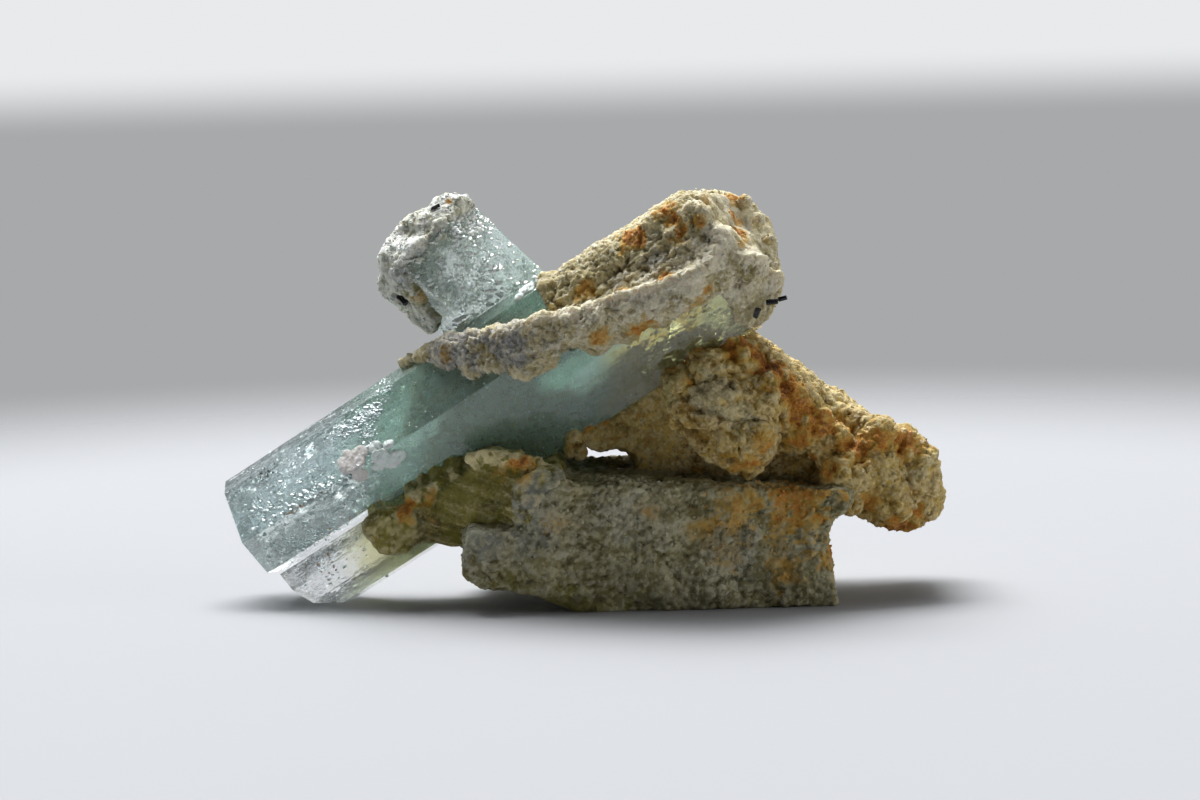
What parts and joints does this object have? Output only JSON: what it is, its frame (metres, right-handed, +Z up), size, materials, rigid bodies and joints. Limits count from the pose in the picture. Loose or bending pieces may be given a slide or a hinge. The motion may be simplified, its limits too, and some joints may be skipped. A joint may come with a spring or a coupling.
{
  "type": "aquamarine crystal specimen",
  "caption": "Clear blue-green aquamarine prisms grown at a slant through knobbly cream feldspar, which stands on its flat underside, with small black needles at the ends.",
  "frame": {"origin": "centre of the specimen's bounding box, on the surface that it rests on", "axes": "+X along the longest extent, towards the free end of the feldspar arm; -Y is the front; +Z is up"},
  "size_m": [0.046, 0.0156, 0.0259],
  "materials": {
    "aquamarine": "clear natural crystal, glossy faces, see-through with cloudy zones",
    "grey_feldspar": "gritty, matt",
    "cream_feldspar": "knobbly, matt, stained with rust",
    "yellow_feldspar": "stepped cleavage, slightly waxy",
    "white_feldspar": "fine-grained, matt",
    "schorl": "glossy black"
  },
  "bodies": {
    "root": {"aquamarine_main_crystal": "aquamarine", "aquamarine_lower_crystal": "aquamarine", "aquamarine_crossing_crystal": "aquamarine", "feldspar_block": "grey_feldspar", "feldspar_arm": "cream_feldspar", "feldspar_wedge": "yellow_feldspar", "feldspar_crust": "white_feldspar", "feldspar_druse": "white_feldspar", "schorl_needle_1": "schorl", "schorl_needle_2": "schorl", "schorl_needle_3": "schorl", "schorl_needle_4": "schorl", "schorl_needle_5": "schorl"}
  },
  "joints": []
}
